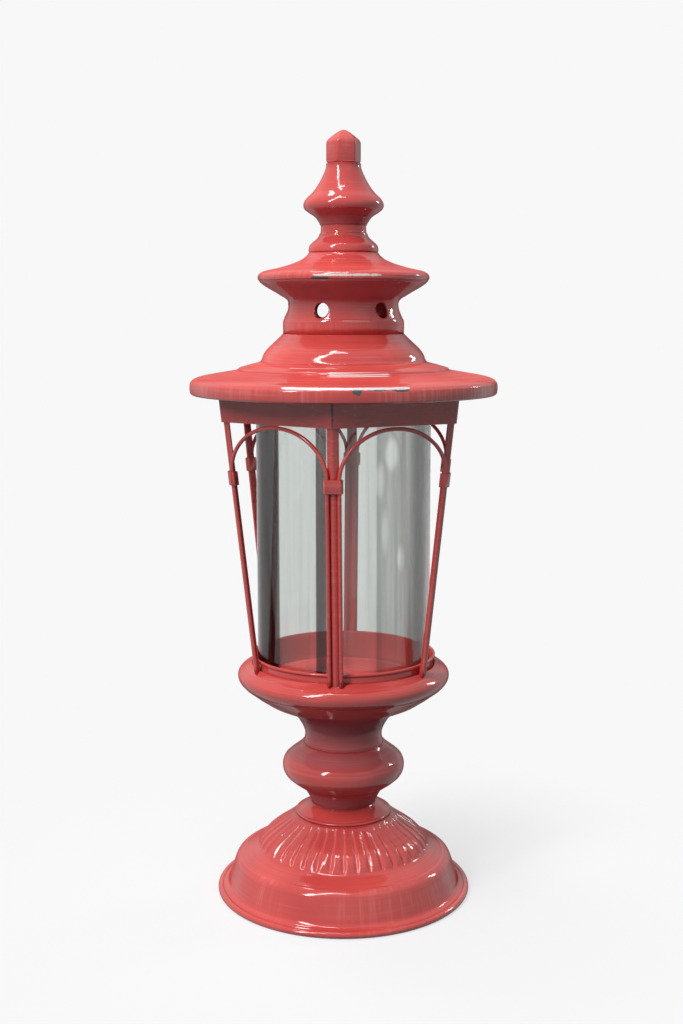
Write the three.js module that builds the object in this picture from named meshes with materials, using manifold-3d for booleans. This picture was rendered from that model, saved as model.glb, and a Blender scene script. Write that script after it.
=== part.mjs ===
// Candle lantern on a turned pedestal, in red enamelled sheet steel, with a loose glass cylinder.
// Millimetres, +Z up. The origin is the centre of the foot, on the floor. The front is -Y.
// Round pieces are spun: an outline of [radius, height] points is turned about the upright axis.
// Heights inside an outline are counted from the piece's own seat, and each piece sits on the last.
import * as THREE from 'three';
import { mergeVertices } from 'three/addons/utils/BufferGeometryUtils.js';
import Module from 'manifold-3d';

const wasm = await Module();
wasm.setup();

// Sheet, rods and fits
const sheet = 1.2;              // thickness of the spun and folded steel
const gap = 0.3;                // clearance between pieces that seat on each other
const rodRadius = 3;            // threaded rods that clamp the pedestal and the roof
const washerThickness = 1.5;
const nutSides = 6;
const nutRadius = 5.8;          // to the corners
const nutHeight = 5;
const rodOverhang = 3;          // rod that shows past its nut
const overrun = 5;              // how far a cutter runs past what it cuts

// Foot, from its rim inwards and upwards
const rimRadius = 95;
const rimBead = 2.4;            // radius of the rolled edge on the floor
const rimRollAngle = 60;        // degrees below level at which the rolled edge meets the floor
const rimGroove = 0.5;          // depth of the groove inside the rolled edge
const rimWidth = 7.5;           // from the rim's outside to the foot of the wall
const rimRise = 6;
const wallSlope = 6.7;          // how far the wall leans in
const wallRise = 19.1;
const ridgeWidth = 5.8;
const ridgeRise = 4.2;
const shelfWidth = 11.2;
const shelfRise = 5.3;
const domeRise = 25;
const domeMargin = 0.6;         // from the edge of the dome's flat top to the collar
const fluteCount = 40;
const fluteDepth = 1.3;

// Smooth collar between the flutes and the stem
const collarRadius = 36;
const collarTopRadius = 24.6;
const collarHeight = 8.3;

// Bulb of the stem
const bulbRadius = 45.6;
const bulbHeight = 45.6;

// Bowl: neck of the stem and underside of the saucer
const bowlReach = 7.5;          // how far the bowl reaches past the pan's wall
const bowlHeight = 45;
const bowlLip = 9;              // the bowl's edge turns in by this much and carries the saucer
const neckRadius = 28.7;

// Saucer, with a well that the pan drops into
const saucerReach = 4.1;        // how far the saucer reaches past the bowl
const saucerHeight = 16.6;

// Candle pan
const panPlay = 2.2;            // from the glass to the pan's wall
const panStandsProud = 6.8;     // height of the lip over the saucer
const lipBead = 1.1;            // radius of the rolled lip
const ringHeight = 0.9;         // rings pressed into the floor of the pan
const boltHeadRadius = 8;
const boltHeadHeight = 2.6;

// Glass cylinder. The pan, the saucer, the bowl, the frame and the roof are sized to it.
const glassRadius = 63.5;
const glassWall = 2.5;
const glassHeight = 203;

// Six-sided frame. Corners are numbered from the front, turning to the right as seen from above,
// and so is the side that follows each corner. The two sides at left and right have no arch.
const cornerNames = ['front', 'front_right', 'back_right', 'back', 'back_left', 'front_left'];
const archNames = ['front_right', null, 'back_right', 'back_left', null, 'front_left'];
const sides = cornerNames.length;
const glassInBand = 8.7;        // how far the glass reaches up into the band
const frameFlare = 21.07;       // how far the posts lean out on their way up to the band
const bandHeight = 28.8;
const bandFlange = 3.2;         // width of the band's inward flange at mid-side
const postFlange = 4.7;         // width of each leaf of a folded post
const postClearance = 2.6;      // from the pan's lip to the corner of a post's foot
const wireRadius = 1.4;
const wireInset = 3.8;          // from the corner of the frame to the middle of a wire
const wireFootLift = 1.6;       // the wires stop short of the saucer
const strapThickness = 0.8;
const strapHeight = 9.7;
const strapDrop = 34.6;         // from the band to the top of the straps

// Roof
const brimReach = 13.04;        // how far the brim reaches past the corners of the band
const brimRimHeight = 8.4;
const brimRise = 8.8;           // from the top of the rim to the raised step
const stepInset = 3.04;         // from the locating ring to the edge of the raised step
const stepRise = 1.8;
const stepWidth = 16.7;
const bellFootRise = 5;         // from the raised step to the foot of the bell
const bellSlope = 15.6;         // how far the bell draws in
const bellHeight = 19;
const bellLedge = 10.9;         // flat ring on the bell, round the way for hot air into the chimney
const locatorClearance = 1.2;   // round the ring that centres the roof in the band
const locatorHeight = 11;
const strapBarWidth = 13;
const strapBarThickness = 1.6;
const strapBarOverlap = 5;      // how far the bar reaches under the bell's top

// Chimney and upper tier
const chimneyInset = 0.4;       // from the edge of the bell's top to the chimney
const chimneyBandHeight = 9.7;
const chimneyNeckDepth = 4;
const chimneyNeckHeight = 21;
const chimneyHeight = 37.6;
const tierReach = 21.1;         // how far the chimney flares out under the upper tier
const ventRadius = 5.4;
const ventHeight = 16.4;
const ventSides = 10;
const ventAngles = [-18, 46, 118, 206, 275];   // degrees from the front, punched by hand
const capReach = 0.9;           // how far the cap reaches past the chimney's flare
const capHeight = 19;

// Finial
const spoolRadius = 25;
const spoolHeight = 18.6;
const beadRadius = 28.6;
const beadHeight = 43;
const knobSides = 6;
const knobRadius = 12.4;        // to the corners
const knobTurn = -22;           // degrees from the front to a corner of the knob
const knobHeight = 23;
const knobBore = 12;            // depth of the threaded hole in the knob

// Smoothness of the round shapes
const roofSegments = 40;
const largeSegments = 32;
const stemSegments = 28;
const smallSegments = 20;
const rodSegments = 12;
const wireSides = 6;
const wireSteps = 18;
const strapSteps = 6;

const red = 0xd95552;
const deepRed = 0xa34648;
const zincGrey = 0x9c9a96;
const clearGlass = 0xc9d0cc;

const degrees = Math.PI / 180;
const boreRadius = rodRadius + gap;

// Outline helpers. A share pair is [share of the radius, share of the height].
const point = (radius, height) => [radius, height];
const byShares = (radius, height, shares) =>
  shares.map(([across, up]) => point(radius * across, height * up));
const between = ([r0, z0], [r1, z1], shares) =>
  shares.map(([across, up]) => point(r0 + (r1 - r0) * across, z0 + (z1 - z0) * up));
const arc = (radius, height, size, from, to, steps) =>
  Array.from({ length: steps + 1 }, (_, i) => {
    const angle = (from + ((to - from) * i) / steps) * degrees;
    return point(radius + size * Math.cos(angle), height + size * Math.sin(angle));
  });

// Moves an open outline to its left-hand side: on an outline drawn upwards that is the inside.
function inset(outline, distance) {
  const normals = outline.slice(1).map(([r, z], i) => {
    const run = r - outline[i][0];
    const rise = z - outline[i][1];
    const length = Math.hypot(run, rise);
    return [-rise / length, run / length];
  });
  return outline.map(([r, z], i) => {
    const [a, b] = normals[Math.max(i - 1, 0)];
    const [c, d] = normals[Math.min(i, normals.length - 1)];
    const scale = distance / (1 + a * c + b * d);
    return point(r + (a + c) * scale, z + (b + d) * scale);
  });
}

// Height of an outline where it first crosses a radius.
function heightAt(outline, radius) {
  const index = outline.findIndex(([r], i) => i > 0 && (r - radius) * (outline[i - 1][0] - radius) <= 0);
  const [r0, z0] = outline[index - 1];
  const [r1, z1] = outline[index];
  return z0 + ((z1 - z0) * (radius - r0)) / (r1 - r0);
}

// Drops normals, joins shared vertices and removes the empty triangles at a pole.
function welded(geometry) {
  const bare = geometry.clone();
  bare.deleteAttribute('normal');
  bare.deleteAttribute('uv');
  const merged = mergeVertices(bare);
  const index = Array.from(merged.index.array);
  const kept = [];
  for (let i = 0; i < index.length; i += 3) {
    const [a, b, c] = index.slice(i, i + 3);
    if (a !== b && b !== c && c !== a) kept.push(a, b, c);
  }
  merged.setIndex(kept);
  return merged;
}

function facesOut(geometry) {
  const place = geometry.attributes.position;
  const index = geometry.index.array;
  const [a, b, c] = [new THREE.Vector3(), new THREE.Vector3(), new THREE.Vector3()];
  let volume = 0;
  for (let i = 0; i < index.length; i += 3) {
    a.fromBufferAttribute(place, index[i]);
    b.fromBufferAttribute(place, index[i + 1]);
    c.fromBufferAttribute(place, index[i + 2]);
    volume += a.dot(b.cross(c));
  }
  if (volume < 0) {
    for (let i = 0; i < index.length; i += 3) [index[i], index[i + 1]] = [index[i + 1], index[i]];
  }
  return geometry;
}

// Turns a closed outline about the upright axis. Where a second outline is given, every other
// meridian follows it instead, which makes flutes.
function spin(outline, segments, second = outline) {
  const onAxis = outline[0][0] === 0 && outline[outline.length - 1][0] === 0;
  const loop = onAxis ? outline : [...outline, outline[0]];
  const geometry = new THREE.LatheGeometry(loop.map(([r, z]) => new THREE.Vector2(r, z)), segments);
  if (second !== outline) {
    const place = geometry.attributes.position;
    for (let i = 0; i < place.count; i += 1) {
      const along = (i % loop.length) % outline.length;
      const meridian = Math.floor(i / loop.length) % segments;
      if (meridian % 2 === 1) {
        const [radius, height] = second[along];
        const scale = radius / outline[along][0];
        place.setXYZ(i, place.getX(i) * scale, height, place.getZ(i) * scale);
      }
    }
  }
  geometry.rotateX(Math.PI / 2);
  return facesOut(welded(geometry));
}

// Drops the points of an outline that lie close to a straight run between the others: on its left
// by up to the distance, and on its right by up to three times as much.
function thinned(outline, distance) {
  const first = outline[0];
  const last = outline[outline.length - 1];
  const run = last[0] - first[0];
  const rise = last[1] - first[1];
  const length = Math.hypot(run, rise);
  const off = outline.map(([r, z]) => {
    const right = ((r - first[0]) * rise - (z - first[1]) * run) / length;
    return right > 0 ? right / 3 : -right;
  });
  const furthest = off.indexOf(Math.max(...off));
  if (off[furthest] <= distance) return [first, last];
  const lower = thinned(outline.slice(0, furthest + 1), distance);
  return [...lower, ...thinned(outline.slice(furthest), distance).slice(1)];
}

// The inside of a spun sheet, one sheet further in. Nobody sees it, so it has fewer points.
const insideOf = (outline) => thinned(inset(outline, sheet), sheet / 2);
const sheetLoop = (outline) => [...outline, ...insideOf(outline).reverse()];

const raised = (geometry, height) => geometry.clone().translate(0, 0, height);

function toSolid(geometry) {
  const merged = facesOut(welded(geometry));
  return new wasm.Manifold(new wasm.Mesh({
    numProp: 3,
    vertProperties: new Float32Array(merged.attributes.position.array),
    triVerts: new Uint32Array(merged.index.array),
  }));
}

function toGeometry(solid) {
  const mesh = solid.getMesh();
  const geometry = new THREE.BufferGeometry();
  geometry.setAttribute('position', new THREE.BufferAttribute(new Float32Array(mesh.vertProperties), 3));
  geometry.setIndex(Array.from(mesh.triVerts));
  return geometry;
}

// An upright prism with its axis on Z and its lower face at the given height.
function prism(lowerRadius, upperRadius, height, segments, base) {
  const geometry = new THREE.CylinderGeometry(upperRadius, lowerRadius, height, segments);
  geometry.rotateX(Math.PI / 2);
  return geometry.translate(0, 0, base + height / 2);
}

// Radii, each worked out from the piece that it fits
const wallFootRadius = rimRadius - rimWidth;
const shoulderRadius = wallFootRadius - wallSlope;
const shelfOuterRadius = shoulderRadius - ridgeWidth;
const shelfInnerRadius = shelfOuterRadius - shelfWidth;
const domeTopRadius = collarRadius + domeMargin;
const panRadius = glassRadius + panPlay + sheet;
const bowlRadius = panRadius + bowlReach;
const saucerRadius = bowlRadius + saucerReach;

// Levels, each worked out from the piece below
const shoulderHeight = rimRise + wallRise;
const shelfOuterHeight = shoulderHeight + ridgeRise;
const shelfInnerHeight = shelfOuterHeight + shelfRise;
const domeTopHeight = shelfInnerHeight + domeRise;
const collarSeat = domeTopHeight + gap;
const bulbSeat = collarSeat + collarHeight + gap;
const bowlSeat = bulbSeat + bulbHeight + gap;
const saucerSeat = bowlSeat + bowlHeight + gap;
const saucerTop = saucerSeat + saucerHeight;
const panSeat = saucerSeat + sheet + gap;
const panFloor = panSeat + sheet;
const lipTop = saucerTop + panStandsProud;
const glassSeat = panFloor + gap;
const bandBottom = glassSeat + glassHeight - glassInBand;
const bandTop = bandBottom + bandHeight;

// Frame geometry shared by posts, wires, straps and band
const lipRadius = panRadius + lipBead;
const postFootRadius = lipRadius + postClearance + sheet;
const mitre = 1 / Math.cos(Math.PI / sides);
const lean = frameFlare / (bandBottom - saucerTop);
const bandCornerRadius = postFootRadius + frameFlare + (sheet + gap) * mitre;
const bandTopCorner = bandCornerRadius + lean * bandHeight;
const bandHoleRadius = bandTopCorner / mitre - sheet - bandFlange;
const locatorRadius = bandHoleRadius - locatorClearance;
const cornerRadius = (height) => postFootRadius + lean * (height - saucerTop);
const cornerAngle = (corner) => -Math.PI / 2 + (corner * 2 * Math.PI) / sides;

// Foot: rolled rim, flange, flared wall, ridge, sloping shelf, fluted dome and flat top
const ridgeShares = [[0.15, 0.55], [0.6, 1.02]];
const domeShares = [[0.05, 0.15], [0.2, 0.33], [0.5, 0.585], [0.76, 0.77]];
const fluteShares = [0.6, 1, 1, 0.7];   // depth of the flutes at each point of the dome
function footShell() {
  const beadCentre = rimRadius - rimBead;
  const beadLevel = rimBead * Math.sin(rimRollAngle * degrees);
  const bead = arc(beadCentre, beadLevel, rimBead, -rimRollAngle, 90, 3);
  const shoulder = point(shoulderRadius, shoulderHeight);
  const shelfOuter = point(shelfOuterRadius, shelfOuterHeight);
  const shelfInner = point(shelfInnerRadius, shelfInnerHeight);
  const domeTop = point(domeTopRadius, domeTopHeight);
  const below = [
    point(beadCentre - rimBead / 2, beadLevel + rimBead - rimGroove),
    point(wallFootRadius, rimRise),
    shoulder,
    ...between(shoulder, shelfOuter, ridgeShares),
    shelfOuter,
    shelfInner,
  ];
  const crests = between(shelfInner, domeTop, domeShares);
  const grooves = crests.map(([r, z], i) => point(
    r - fluteDepth * fluteShares[i],
    z - (fluteDepth * fluteShares[i]) / 2,
  ));
  const above = [domeTop, point(boreRadius, domeTopHeight)];
  const inside = insideOf([...below, ...grooves, ...above]).slice(1).reverse();
  const edge = [point(beadCentre - rimBead, beadLevel), point(beadCentre - rimBead / 2, 0)];
  const outline = (dome) => [...bead, ...below, ...dome, ...above, ...inside, ...edge];
  return spin(outline(crests), fluteCount * 2, outline(grooves));
}

const collarShares = [[0, 0], [0, 0.1], [0.16, 0.2], [0.35, 0.42], [0.57, 0.66], [0.84, 0.86], [1, 1]];
function footCollar() {
  const outside = between(point(collarRadius, 0), point(collarTopRadius, collarHeight), collarShares);
  return spin(sheetLoop([...outside, point(boreRadius, collarHeight)]), stemSegments);
}

const bulbShares = [[0.53, 0], [0.592, 0.136], [0.636, 0.212], [0.754, 0.306], [0.888, 0.407],
  [0.967, 0.497], [1, 0.63], [0.952, 0.765], [0.833, 0.864], [0.68, 1]];
function stemBulb() {
  const outside = byShares(bulbRadius, bulbHeight, bulbShares);
  return spin(sheetLoop([point(boreRadius, 0), ...outside, point(boreRadius, bulbHeight)]), stemSegments);
}

const neckShares = [[1.03, 0], [1.014, 0.06], [1, 0.158], [1.045, 0.267], [1.132, 0.371], [1.213, 0.449]];
const bowlShares = [[0.558, 0.567], [0.703, 0.676], [0.824, 0.789], [0.935, 0.93], [1, 1]];
function bowlShell() {
  const neck = byShares(neckRadius, bowlHeight, neckShares);
  const bowl = byShares(bowlRadius, bowlHeight, bowlShares);
  const lip = point(bowlRadius - bowlLip, bowlHeight);
  return spin(sheetLoop([point(boreRadius, 0), ...neck, ...bowl, lip]), largeSegments);
}

// The saucer: its rounded edge, the wall of the well and the well's floor, which lies on the bowl's lip
const wellRadius = panRadius + gap;
const saucerShares = [[0, 0], [0.75, 0.21], [1, 0.45], [0.95, 0.54]];
const saucerTopShares = [[0.24, 0.62], [0.57, 0.83], [0.85, 0.96], [1, 1]];
const saucerOutside = [
  ...between(point(bowlRadius + gap, 0), point(saucerRadius, saucerHeight), saucerShares),
  ...between(point(saucerRadius, 0), point(wellRadius + sheet * 2, saucerHeight), saucerTopShares),
];
function saucerShell() {
  return spin(sheetLoop([
    ...saucerOutside,
    point(wellRadius, saucerHeight),
    point(wellRadius, sheet),
    point(boreRadius, sheet),
  ]), largeSegments);
}

const ringRadiusShares = [0.86, 0.5];
const ringWidthShare = 0.035;
function candlePan() {
  const wallInside = panRadius - sheet;
  const depth = lipTop - panSeat;
  const lipCentre = depth - lipBead;
  const rings = ringRadiusShares.flatMap((share) => [
    point(wallInside * (share + ringWidthShare), sheet),
    point(wallInside * share, sheet + ringHeight),
    point(wallInside * (share - ringWidthShare), sheet),
  ]);
  return spin([
    point(boreRadius, 0),
    point(panRadius - sheet, 0),
    point(panRadius, sheet),
    ...arc(panRadius, lipCentre, lipBead, -90, 90, 4),
    point(wallInside, depth - lipBead / 2),
    point(wallInside, sheet * 2),
    point(wallInside - sheet, sheet),
    ...rings,
    point(boreRadius, sheet),
  ], largeSegments);
}

const boltHeadShares = [[1, 0.33], [0.7, 0.8], [0, 1]];
function tieBolt() {
  const headSeat = panFloor + gap;
  const end = domeTopHeight - sheet - gap * 2 - washerThickness - nutHeight - rodOverhang;
  return spin([
    point(0, end),
    point(rodRadius, end),
    point(rodRadius, headSeat),
    point(boltHeadRadius, headSeat),
    ...boltHeadShares.map(([across, up]) => point(boltHeadRadius * across, headSeat + boltHeadHeight * up)),
  ], rodSegments);
}

const ring = (outer, inner, height) =>
  spin([point(inner, 0), point(outer, 0), point(outer, height), point(inner, height)], rodSegments);

function nut() {
  const block = toSolid(prism(nutRadius, nutRadius, nutHeight, nutSides, 0));
  return toGeometry(block.subtract(toSolid(
    prism(boreRadius, boreRadius, nutHeight + overrun * 2, rodSegments, -overrun))));
}

const glassTube = () => spin([
  point(glassRadius - glassWall, 0), point(glassRadius, 0),
  point(glassRadius, glassHeight), point(glassRadius - glassWall, glassHeight),
], largeSegments);

// The section of the frame at a corner, seen from above with the corner pointing along +X:
// a leaf of the post runs along each side of the hexagon, and a wire may lie against its outside.
const along = (side) => new THREE.Vector2(-Math.sin(Math.PI / sides), side * Math.cos(Math.PI / sides));
const outward = (side) => new THREE.Vector2(Math.cos(Math.PI / sides), side * Math.sin(Math.PI / sides));
const onSide = (side, distance, out) =>
  along(side).multiplyScalar(distance).addScaledVector(outward(side), out);
const wireStandOff = gap + wireRadius;   // from the outside of a post's leaf to the middle of a wire

// Leans a shape that is built on the axis out to its corner of the frame.
function atCorner(geometry, corner, base) {
  const leaning = new THREE.Matrix4().makeShear(0, 0, 0, 0, lean, 0);
  geometry.applyMatrix4(leaning);
  geometry.translate(cornerRadius(base), 0, base);
  return geometry.rotateZ(cornerAngle(corner));
}

function post(corner, seatSolid) {
  const base = saucerTop - saucerHeight / 2;
  const top = bandTop - sheet - gap;
  const outline = new THREE.Shape([
    new THREE.Vector2(0, 0), onSide(1, postFlange, 0), onSide(1, postFlange, -sheet),
    new THREE.Vector2(-sheet * mitre, 0), onSide(-1, postFlange, -sheet), onSide(-1, postFlange, 0),
  ]);
  const bar = new THREE.ExtrudeGeometry(outline, { depth: top - base, bevelEnabled: false });
  return toGeometry(toSolid(atCorner(bar, corner, base)).subtract(seatSolid));
}

// The saucer's outside grown by the clearance, as a closed block: it trims the feet of the posts.
function saucerBlock() {
  const grown = inset(saucerOutside, -gap);
  const highest = grown[grown.length - 1];
  return toSolid(raised(spin([point(0, 0), ...grown, point(0, highest[1])], largeSegments), saucerSeat));
}

// The tightest outline round some points, by walking them from left to right and back.
function hull(points) {
  const sorted = [...points].sort((a, b) => a.x - b.x || a.y - b.y);
  const walk = (chain, next) => {
    while (chain.length > 1) {
      const [a, b] = chain.slice(-2);
      if ((b.x - a.x) * (next.y - a.y) - (b.y - a.y) * (next.x - a.x) > 0) break;
      chain.pop();
    }
    return [...chain, next];
  };
  return [...sorted.reduce(walk, []).slice(0, -1), ...sorted.reverse().reduce(walk, []).slice(0, -1)];
}

// A strap pulled tight round a post and the wires that lie against it.
function strap(corner, wires) {
  const round = (centre, radius) => Array.from({ length: strapSteps }, (_, i) => {
    const angle = ((i + 0.5) * 2 * Math.PI) / strapSteps;
    return new THREE.Vector2(centre.x + radius * Math.cos(angle), centre.y + radius * Math.sin(angle));
  });
  const wrap = (grow) => hull([
    ...wires.flatMap((side) => round(onSide(side, wireInset, wireStandOff), wireRadius + grow)),
    ...[onSide(1, postFlange, 0), onSide(1, postFlange, -sheet), onSide(-1, postFlange, 0),
      onSide(-1, postFlange, -sheet), new THREE.Vector2(0, 0)].flatMap((centre) => round(centre, grow)),
  ]);
  const outline = new THREE.Shape(wrap(gap * 2 + strapThickness));
  outline.holes.push(new THREE.Path(wrap(gap * 2)));
  const band = new THREE.ExtrudeGeometry(outline, { depth: strapHeight, bevelEnabled: false });
  return facesOut(welded(atCorner(band, corner, bandBottom - strapDrop - strapHeight)));
}

// A wire that climbs beside one post, arches over under the band and comes down beside the next.
// Samples are spread by parameter and not by length, so that each straight leg is a single step.
class HoopCurve extends THREE.Curve {
  constructor(corner) {
    super();
    this.middleAngle = cornerAngle(corner) + Math.PI / sides;
    this.foot = saucerTop + wireFootLift;
    this.spring = bandBottom - strapDrop;
    this.crown = bandBottom - gap - wireRadius;
  }

  // Half the distance between the two legs at a height.
  span(height) {
    return cornerRadius(height) * Math.sin(Math.PI / sides) - wireInset;
  }

  place(across, height, target) {
    const middle = cornerRadius(height) * Math.cos(Math.PI / sides) + wireStandOff;
    const cos = Math.cos(this.middleAngle);
    const sin = Math.sin(this.middleAngle);
    return target.set(middle * cos - across * sin, middle * sin + across * cos, height);
  }

  getPoint(t, target = new THREE.Vector3()) {
    const step = t * wireSteps;
    if (step <= 1) {
      const height = this.foot + (this.spring - this.foot) * step;
      return this.place(-this.span(height), height, target);
    }
    if (step >= wireSteps - 1) {
      const height = this.foot + (this.spring - this.foot) * (wireSteps - step);
      return this.place(this.span(height), height, target);
    }
    const turn = ((step - 1) / (wireSteps - 2)) * Math.PI;
    const height = this.spring + (this.crown - this.spring) * Math.sin(turn);
    return this.place(-Math.cos(turn) * this.span(this.spring), height, target);
  }

  getPointAt(u, target) {
    return this.getPoint(u, target);
  }

  getTangentAt(u, target) {
    return this.getTangent(u, target);
  }
}

function hoop(corner) {
  const section = new THREE.Shape(Array.from({ length: wireSides }, (_, i) => {
    const angle = (i * 2 * Math.PI) / wireSides;
    return new THREE.Vector2(wireRadius * Math.cos(angle), wireRadius * Math.sin(angle));
  }));
  const curve = new HoopCurve(corner);
  return facesOut(welded(new THREE.ExtrudeGeometry(section, { steps: wireSteps, extrudePath: curve })));
}

// Six-sided band with an inward flange at its top, on which the roof rests.
function hexBand() {
  const wall = sheet * mitre;
  const block = toSolid(prism(bandCornerRadius, bandTopCorner, bandHeight, sides, bandBottom));
  const hollow = toSolid(prism(
    bandCornerRadius - wall - overrun * lean,
    bandTopCorner - wall - sheet * lean,
    bandHeight - sheet + overrun,
    sides,
    bandBottom - overrun,
  ));
  const hole = toSolid(
    prism(bandHoleRadius, bandHoleRadius, bandHeight + overrun * 2, largeSegments, bandBottom - overrun));
  return toGeometry(block.subtract(hollow).subtract(hole));
}

// Roof: rim, brim, raised step, bell and the flat ring at its top
const brimRadius = bandTopCorner + brimReach;
const stepRadius = locatorRadius - stepInset;
const bellFootRadius = stepRadius - stepWidth;
const bellTopRadius = bellFootRadius - bellSlope;
const roofHoleRadius = bellTopRadius - bellLedge;
const brimShares = [[0.04, 0.22], [0.2, 0.47], [0.6, 0.74], [0.966, 1]];
const stepShares = [[0, 0.67], [0.125, 1]];
const bellFootShare = 0.68;     // of its rise, the bell's foot goes up straight before it draws in
const bellShares = [[0.05, 0.16], [0.2, 0.41], [0.5, 0.6], [0.8, 0.84], [1, 1]];
const brimTop = brimRimHeight + brimRise;
const stepTop = brimTop + stepRise;
const bellTop = stepTop + bellFootRise + bellHeight;
const roofOutline = [
  point(brimRadius - sheet, 0),
  point(brimRadius, sheet),
  point(brimRadius, brimRimHeight),
  ...between(point(brimRadius, brimRimHeight), point(stepRadius, brimTop), brimShares),
  ...between(point(stepRadius, brimTop), point(bellFootRadius, stepTop), stepShares),
  point(bellFootRadius + sheet, stepTop + bellFootRise * bellFootShare),
  ...between(point(bellFootRadius, stepTop + bellFootRise), point(bellTopRadius, bellTop), bellShares),
  point(roofHoleRadius, bellTop),
];
const roofUnderside = insideOf(roofOutline);
const roofSeat = bandTop + gap - heightAt(roofUnderside, bandTopCorner);
const roofShell = () => spin(sheetLoop(roofOutline), roofSegments);

function locatorRing() {
  const top = roofSeat + heightAt(roofUnderside, locatorRadius) - gap;
  const bottom = bandTop - locatorHeight;
  return spin([
    point(locatorRadius - sheet, bottom), point(locatorRadius, bottom),
    point(locatorRadius, top), point(locatorRadius - sheet, top),
  ], largeSegments);
}

// Levels of the roof's stack
const chimneySeat = roofSeat + bellTop + gap;
const capSeat = chimneySeat + chimneyHeight + gap;
const spoolSeat = capSeat + capHeight + gap;
const beadSeat = spoolSeat + spoolHeight + gap;
const knobSeat = beadSeat + beadHeight + gap;
const barTop = roofSeat + bellTop - sheet - gap;

function bridgeBar() {
  const length = 2 * (roofHoleRadius + strapBarOverlap);
  const bar = new THREE.BoxGeometry(length, strapBarWidth, strapBarThickness);
  bar.translate(0, 0, barTop - strapBarThickness / 2);
  const hole = prism(boreRadius, boreRadius, strapBarThickness + overrun * 2, rodSegments,
    barTop - strapBarThickness - overrun);
  return toGeometry(toSolid(bar).subtract(toSolid(hole)));
}

const chimneyRadius = bellTopRadius - chimneyInset;
const chimneyNeckRadius = chimneyRadius - chimneyNeckDepth;
const tierRadius = chimneyNeckRadius + tierReach;
const chimneyShares = [[0.5, 0.37], [0.95, 0.9], [1, 1]];
const flareShares = [[0.05, 0.19], [0.25, 0.38], [0.47, 0.56], [0.71, 0.76], [0.93, 1], [1, 1]];
function chimney() {
  const bandEdge = point(chimneyRadius, chimneyBandHeight);
  const neck = point(chimneyNeckRadius, chimneyNeckHeight);
  const shell = spin(sheetLoop([
    point(chimneyRadius, 0),
    bandEdge,
    ...between(bandEdge, neck, chimneyShares),
    ...between(neck, point(tierRadius, chimneyHeight - sheet), flareShares),
  ]), largeSegments);
  const cutter = (angle) => {
    const hole = new THREE.CylinderGeometry(ventRadius, ventRadius, chimneyRadius, ventSides);
    hole.translate(0, -chimneyRadius, ventHeight);
    return toSolid(hole.rotateZ(angle * degrees));
  };
  const punched = ventAngles.reduce((solid, angle) => solid.subtract(cutter(angle)), toSolid(shell));
  return toGeometry(punched);
}

const capRadius = tierRadius + capReach;
const capShares = [[0, 0.04], [0, 0.18], [0.06, 0.3], [0.39, 0.45], [0.65, 0.59], [0.86, 0.745],
  [0.975, 0.89], [1, 1]];
function upperCap() {
  const outside = between(point(capRadius, 0), point(spoolRadius, capHeight), capShares);
  return spin(sheetLoop([
    point(capRadius - sheet, 0), ...outside, point(boreRadius, capHeight),
  ]), largeSegments);
}

const spoolShares = [[1, 0], [1, 0.2], [0.945, 0.32], [0.81, 0.47], [0.7, 0.63], [0.7, 0.69],
  [0.66, 0.76], [0.65, 1]];
function finialSpool() {
  const outside = byShares(spoolRadius, spoolHeight, spoolShares);
  return spin(sheetLoop([point(boreRadius, 0), ...outside, point(boreRadius, spoolHeight)]), smallSegments);
}

const beadShares = [[0.575, 0], [0.64, 0.08], [0.72, 0.146], [0.87, 0.21], [0.985, 0.275], [1, 0.345],
  [0.96, 0.41], [0.77, 0.54], [0.63, 0.665], [0.52, 0.8], [0.44, 0.93], [0.43, 1]];
function finialBead() {
  const outside = byShares(beadRadius, beadHeight, beadShares);
  return spin(sheetLoop([point(boreRadius, 0), ...outside, point(boreRadius, beadHeight)]), smallSegments);
}

const knobShares = [[0.96, 0], [1, 0.07], [1, 0.62], [0.9, 0.7], [0.64, 0.81], [0.34, 0.93], [0, 1]];
function finialKnob() {
  const block = spin([point(0, 0), ...byShares(knobRadius, knobHeight, knobShares)], knobSides);
  const bore = prism(boreRadius, boreRadius, knobBore + overrun, rodSegments, -overrun);
  return toGeometry(toSolid(block).subtract(toSolid(bore)));
}

function finialRod() {
  const end = barTop - strapBarThickness - gap * 2 - washerThickness - nutHeight - rodOverhang;
  const top = knobSeat + knobBore - gap;
  return spin([point(0, end), point(rodRadius, end), point(rodRadius, top), point(0, top)], rodSegments);
}

const lantern = new THREE.Group();

function add(name, geometry, color, roughness = 0.28, metalness = 0, opacity = 1) {
  const material = new THREE.MeshStandardMaterial({ color, roughness, metalness });
  if (opacity < 1) Object.assign(material, { transparent: true, opacity });
  const mesh = new THREE.Mesh(geometry, material);
  mesh.name = name;
  lantern.add(mesh);
  return mesh;
}

// Pedestal
const clampWasher = ring(rodRadius * 4, boreRadius, washerThickness);
const washerSeat = domeTopHeight - sheet - gap - washerThickness;
add('foot_shell', footShell(), red);
add('foot_collar', footCollar(), red).position.z = collarSeat;
add('stem_bulb', stemBulb(), red).position.z = bulbSeat;
add('bowl_shell', bowlShell(), red).position.z = bowlSeat;
add('saucer_shell', saucerShell(), red).position.z = saucerSeat;
add('candle_pan', candlePan(), red).position.z = panSeat;
add('tie_bolt', tieBolt(), zincGrey, 0.4, 0.8);
add('tie_washer', clampWasher, zincGrey, 0.4, 0.8).position.z = washerSeat;
add('tie_nut', nut(), zincGrey, 0.4, 0.8).position.z = washerSeat - gap - nutHeight;

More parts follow.
